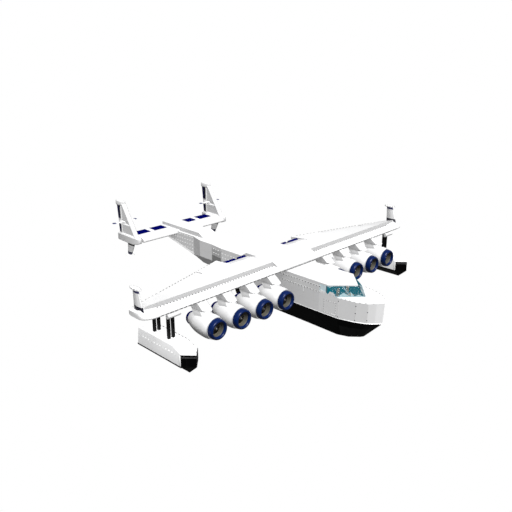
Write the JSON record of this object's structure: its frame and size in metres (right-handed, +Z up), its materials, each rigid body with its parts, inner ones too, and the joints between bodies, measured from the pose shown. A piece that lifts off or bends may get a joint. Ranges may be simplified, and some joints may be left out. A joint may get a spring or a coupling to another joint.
{
  "type": "eight-engined jet flying boat, 1:2 scale model",
  "caption": "Jet flying boat with a high wing, turning fans, wing floats and paired tail fins with rudders, elevators, flaps and ailerons that move, at half size",
  "frame": {"origin": "on the floor under the middle of the overall length and span", "axes": "+X to port along the span, -Y towards the bow, +Z up"},
  "size_m": [28.2, 24.7, 6.68],
  "materials": {
    "white_paint": "gloss white paint",
    "black_paint": "gloss black bottom paint",
    "navy_paint": "gloss navy blue paint",
    "bare_metal": "dull bare metal",
    "tinted_glass": "teal tinted glazing",
    "seat_cover": "brown woven seat cover"
  },
  "bodies": {
    "airframe": {"bow_shell": "white_paint", "flight_deck_roof": "white_paint", "fuselage_mid": "white_paint", "fuselage_aft": "white_paint", "tail_spine": "white_paint", "wing_centre": "white_paint", "wing_port": "white_paint", "wing_starboard": "white_paint", "winglet_port": "white_paint", "winglet_starboard": "white_paint", "float_port": "white_paint", "float_starboard": "white_paint", "tailplane": "white_paint", "fin_port": "white_paint", "fin_starboard": "white_paint", "nacelle_1": "white_paint", "nacelle_2": "white_paint", "nacelle_3": "white_paint", "nacelle_4": "white_paint", "nacelle_5": "white_paint", "nacelle_6": "white_paint", "nacelle_7": "white_paint", "nacelle_8": "white_paint", "hull_bottom": "black_paint", "float_bottom_port": "black_paint", "float_bottom_starboard": "black_paint", "float_struts_port": "black_paint", "float_struts_starboard": "black_paint", "engine_1": "navy_paint", "engine_2": "navy_paint", "engine_3": "navy_paint", "engine_4": "navy_paint", "engine_5": "navy_paint", "engine_6": "navy_paint", "engine_7": "navy_paint", "engine_8": "navy_paint", "instrument_panel": "bare_metal", "windscreen": "tinted_glass", "pilot_seats": "seat_cover"},
    "moving_fan_1": {"fan_1": "bare_metal"},
    "moving_fan_2": {"fan_2": "bare_metal"},
    "moving_fan_3": {"fan_3": "bare_metal"},
    "moving_fan_4": {"fan_4": "bare_metal"},
    "moving_fan_5": {"fan_5": "bare_metal"},
    "moving_fan_6": {"fan_6": "bare_metal"},
    "moving_fan_7": {"fan_7": "bare_metal"},
    "moving_fan_8": {"fan_8": "bare_metal"},
    "moving_flap_inner_port": {"flap_inner_port": "white_paint"},
    "moving_flap_inner_starboard": {"flap_inner_starboard": "white_paint"},
    "moving_flap_outer_port": {"flap_outer_port": "white_paint"},
    "moving_flap_outer_starboard": {"flap_outer_starboard": "white_paint"},
    "moving_aileron_port": {"aileron_port": "white_paint"},
    "moving_aileron_starboard": {"aileron_starboard": "white_paint"},
    "moving_elevator_port": {"elevator_port": "navy_paint"},
    "moving_elevator_starboard": {"elevator_starboard": "navy_paint"},
    "moving_rudder_lower_port": {"rudder_lower_port": "navy_paint"},
    "moving_rudder_lower_starboard": {"rudder_lower_starboard": "navy_paint"},
    "moving_rudder_upper_port": {"rudder_upper_port": "navy_paint"},
    "moving_rudder_upper_starboard": {"rudder_upper_starboard": "navy_paint"}
  },
  "joints": [
    {"name": "fan_1_spin", "type": "hinge", "parent": "airframe", "child": "moving_fan_1", "pos_m": [-9.65, -6.125, 2.285], "axis": [0, 1, 0], "continuous": true},
    {"name": "fan_2_spin", "type": "hinge", "parent": "airframe", "child": "moving_fan_2", "pos_m": [-7.45, -6.125, 2.285], "axis": [0, 1, 0], "continuous": true},
    {"name": "fan_3_spin", "type": "hinge", "parent": "airframe", "child": "moving_fan_3", "pos_m": [-5.285, -6.125, 2.285], "axis": [0, 1, 0], "continuous": true},
    {"name": "fan_4_spin", "type": "hinge", "parent": "airframe", "child": "moving_fan_4", "pos_m": [-3.1, -6.125, 2.285], "axis": [0, 1, 0], "continuous": true},
    {"name": "fan_5_spin", "type": "hinge", "parent": "airframe", "child": "moving_fan_5", "pos_m": [3.1, -6.125, 2.285], "axis": [0, 1, 0], "continuous": true},
    {"name": "fan_6_spin", "type": "hinge", "parent": "airframe", "child": "moving_fan_6", "pos_m": [5.285, -6.125, 2.285], "axis": [0, 1, 0], "continuous": true},
    {"name": "fan_7_spin", "type": "hinge", "parent": "airframe", "child": "moving_fan_7", "pos_m": [7.45, -6.125, 2.285], "axis": [0, 1, 0], "continuous": true},
    {"name": "fan_8_spin", "type": "hinge", "parent": "airframe", "child": "moving_fan_8", "pos_m": [9.65, -6.125, 2.285], "axis": [0, 1, 0], "continuous": true},
    {"name": "flap_inner_port_droop", "type": "hinge", "parent": "airframe", "child": "moving_flap_inner_port", "pos_m": [1.875, -1.614, 4], "axis": [-1, 0, 0], "range_deg": [0, 40]},
    {"name": "flap_inner_starboard_droop", "type": "hinge", "parent": "airframe", "child": "moving_flap_inner_starboard", "pos_m": [-1.875, -1.614, 4], "axis": [-1, 0, 0], "range_deg": [0, 40]},
    {"name": "flap_outer_port_droop", "type": "hinge", "parent": "airframe", "child": "moving_flap_outer_port", "pos_m": [2.975, -1.614, 4], "axis": [-1, 0, 0], "range_deg": [0, 40]},
    {"name": "flap_outer_starboard_droop", "type": "hinge", "parent": "airframe", "child": "moving_flap_outer_starboard", "pos_m": [-2.975, -1.614, 4], "axis": [-1, 0, 0], "range_deg": [0, 40]},
    {"name": "aileron_port_turn", "type": "hinge", "parent": "airframe", "child": "moving_aileron_port", "pos_m": [6.825, -1.30865, 3.925], "axis": [-0.9646, 0.2637, 0], "range_deg": [-22, 22]},
    {"name": "aileron_starboard_turn", "type": "hinge", "parent": "airframe", "child": "moving_aileron_starboard", "pos_m": [-6.825, -1.30865, 3.925], "axis": [-0.9646, -0.2637, 0], "range_deg": [-22, 22]},
    {"name": "elevator_port_turn", "type": "hinge", "parent": "airframe", "child": "moving_elevator_port", "pos_m": [1.07, 10.375, 3.6225], "axis": [-1, 0, 0], "range_deg": [-25, 20]},
    {"name": "elevator_starboard_turn", "type": "hinge", "parent": "airframe", "child": "moving_elevator_starboard", "pos_m": [-1.07, 10.375, 3.6225], "axis": [-1, 0, 0], "range_deg": [-25, 20]},
    {"name": "rudder_lower_port_turn", "type": "hinge", "parent": "airframe", "child": "moving_rudder_lower_port", "pos_m": [4.85, 11.725, 3.86], "axis": [0, 0, 1], "range_deg": [-25, 25]},
    {"name": "rudder_lower_starboard_turn", "type": "hinge", "parent": "airframe", "child": "moving_rudder_lower_starboard", "pos_m": [-4.85, 11.725, 3.86], "axis": [0, 0, 1], "range_deg": [-25, 25]},
    {"name": "rudder_upper_port_turn", "type": "hinge", "parent": "airframe", "child": "moving_rudder_upper_port", "pos_m": [4.85, 11.725, 5.1], "axis": [0, 0, 1], "range_deg": [-25, 25]},
    {"name": "rudder_upper_starboard_turn", "type": "hinge", "parent": "airframe", "child": "moving_rudder_upper_starboard", "pos_m": [-4.85, 11.725, 5.1], "axis": [0, 0, 1], "range_deg": [-25, 25]}
  ],
  "couplings": [
    {"joint": "flap_inner_starboard_droop", "follows": "flap_inner_port_droop", "ratio": 1},
    {"joint": "flap_outer_port_droop", "follows": "flap_inner_port_droop", "ratio": 1},
    {"joint": "flap_outer_starboard_droop", "follows": "flap_inner_port_droop", "ratio": 1},
    {"joint": "aileron_starboard_turn", "follows": "aileron_port_turn", "ratio": -1},
    {"joint": "elevator_starboard_turn", "follows": "elevator_port_turn", "ratio": 1},
    {"joint": "rudder_lower_starboard_turn", "follows": "rudder_lower_port_turn", "ratio": 1},
    {"joint": "rudder_upper_port_turn", "follows": "rudder_lower_port_turn", "ratio": 1},
    {"joint": "rudder_upper_starboard_turn", "follows": "rudder_lower_port_turn", "ratio": 1}
  ]
}
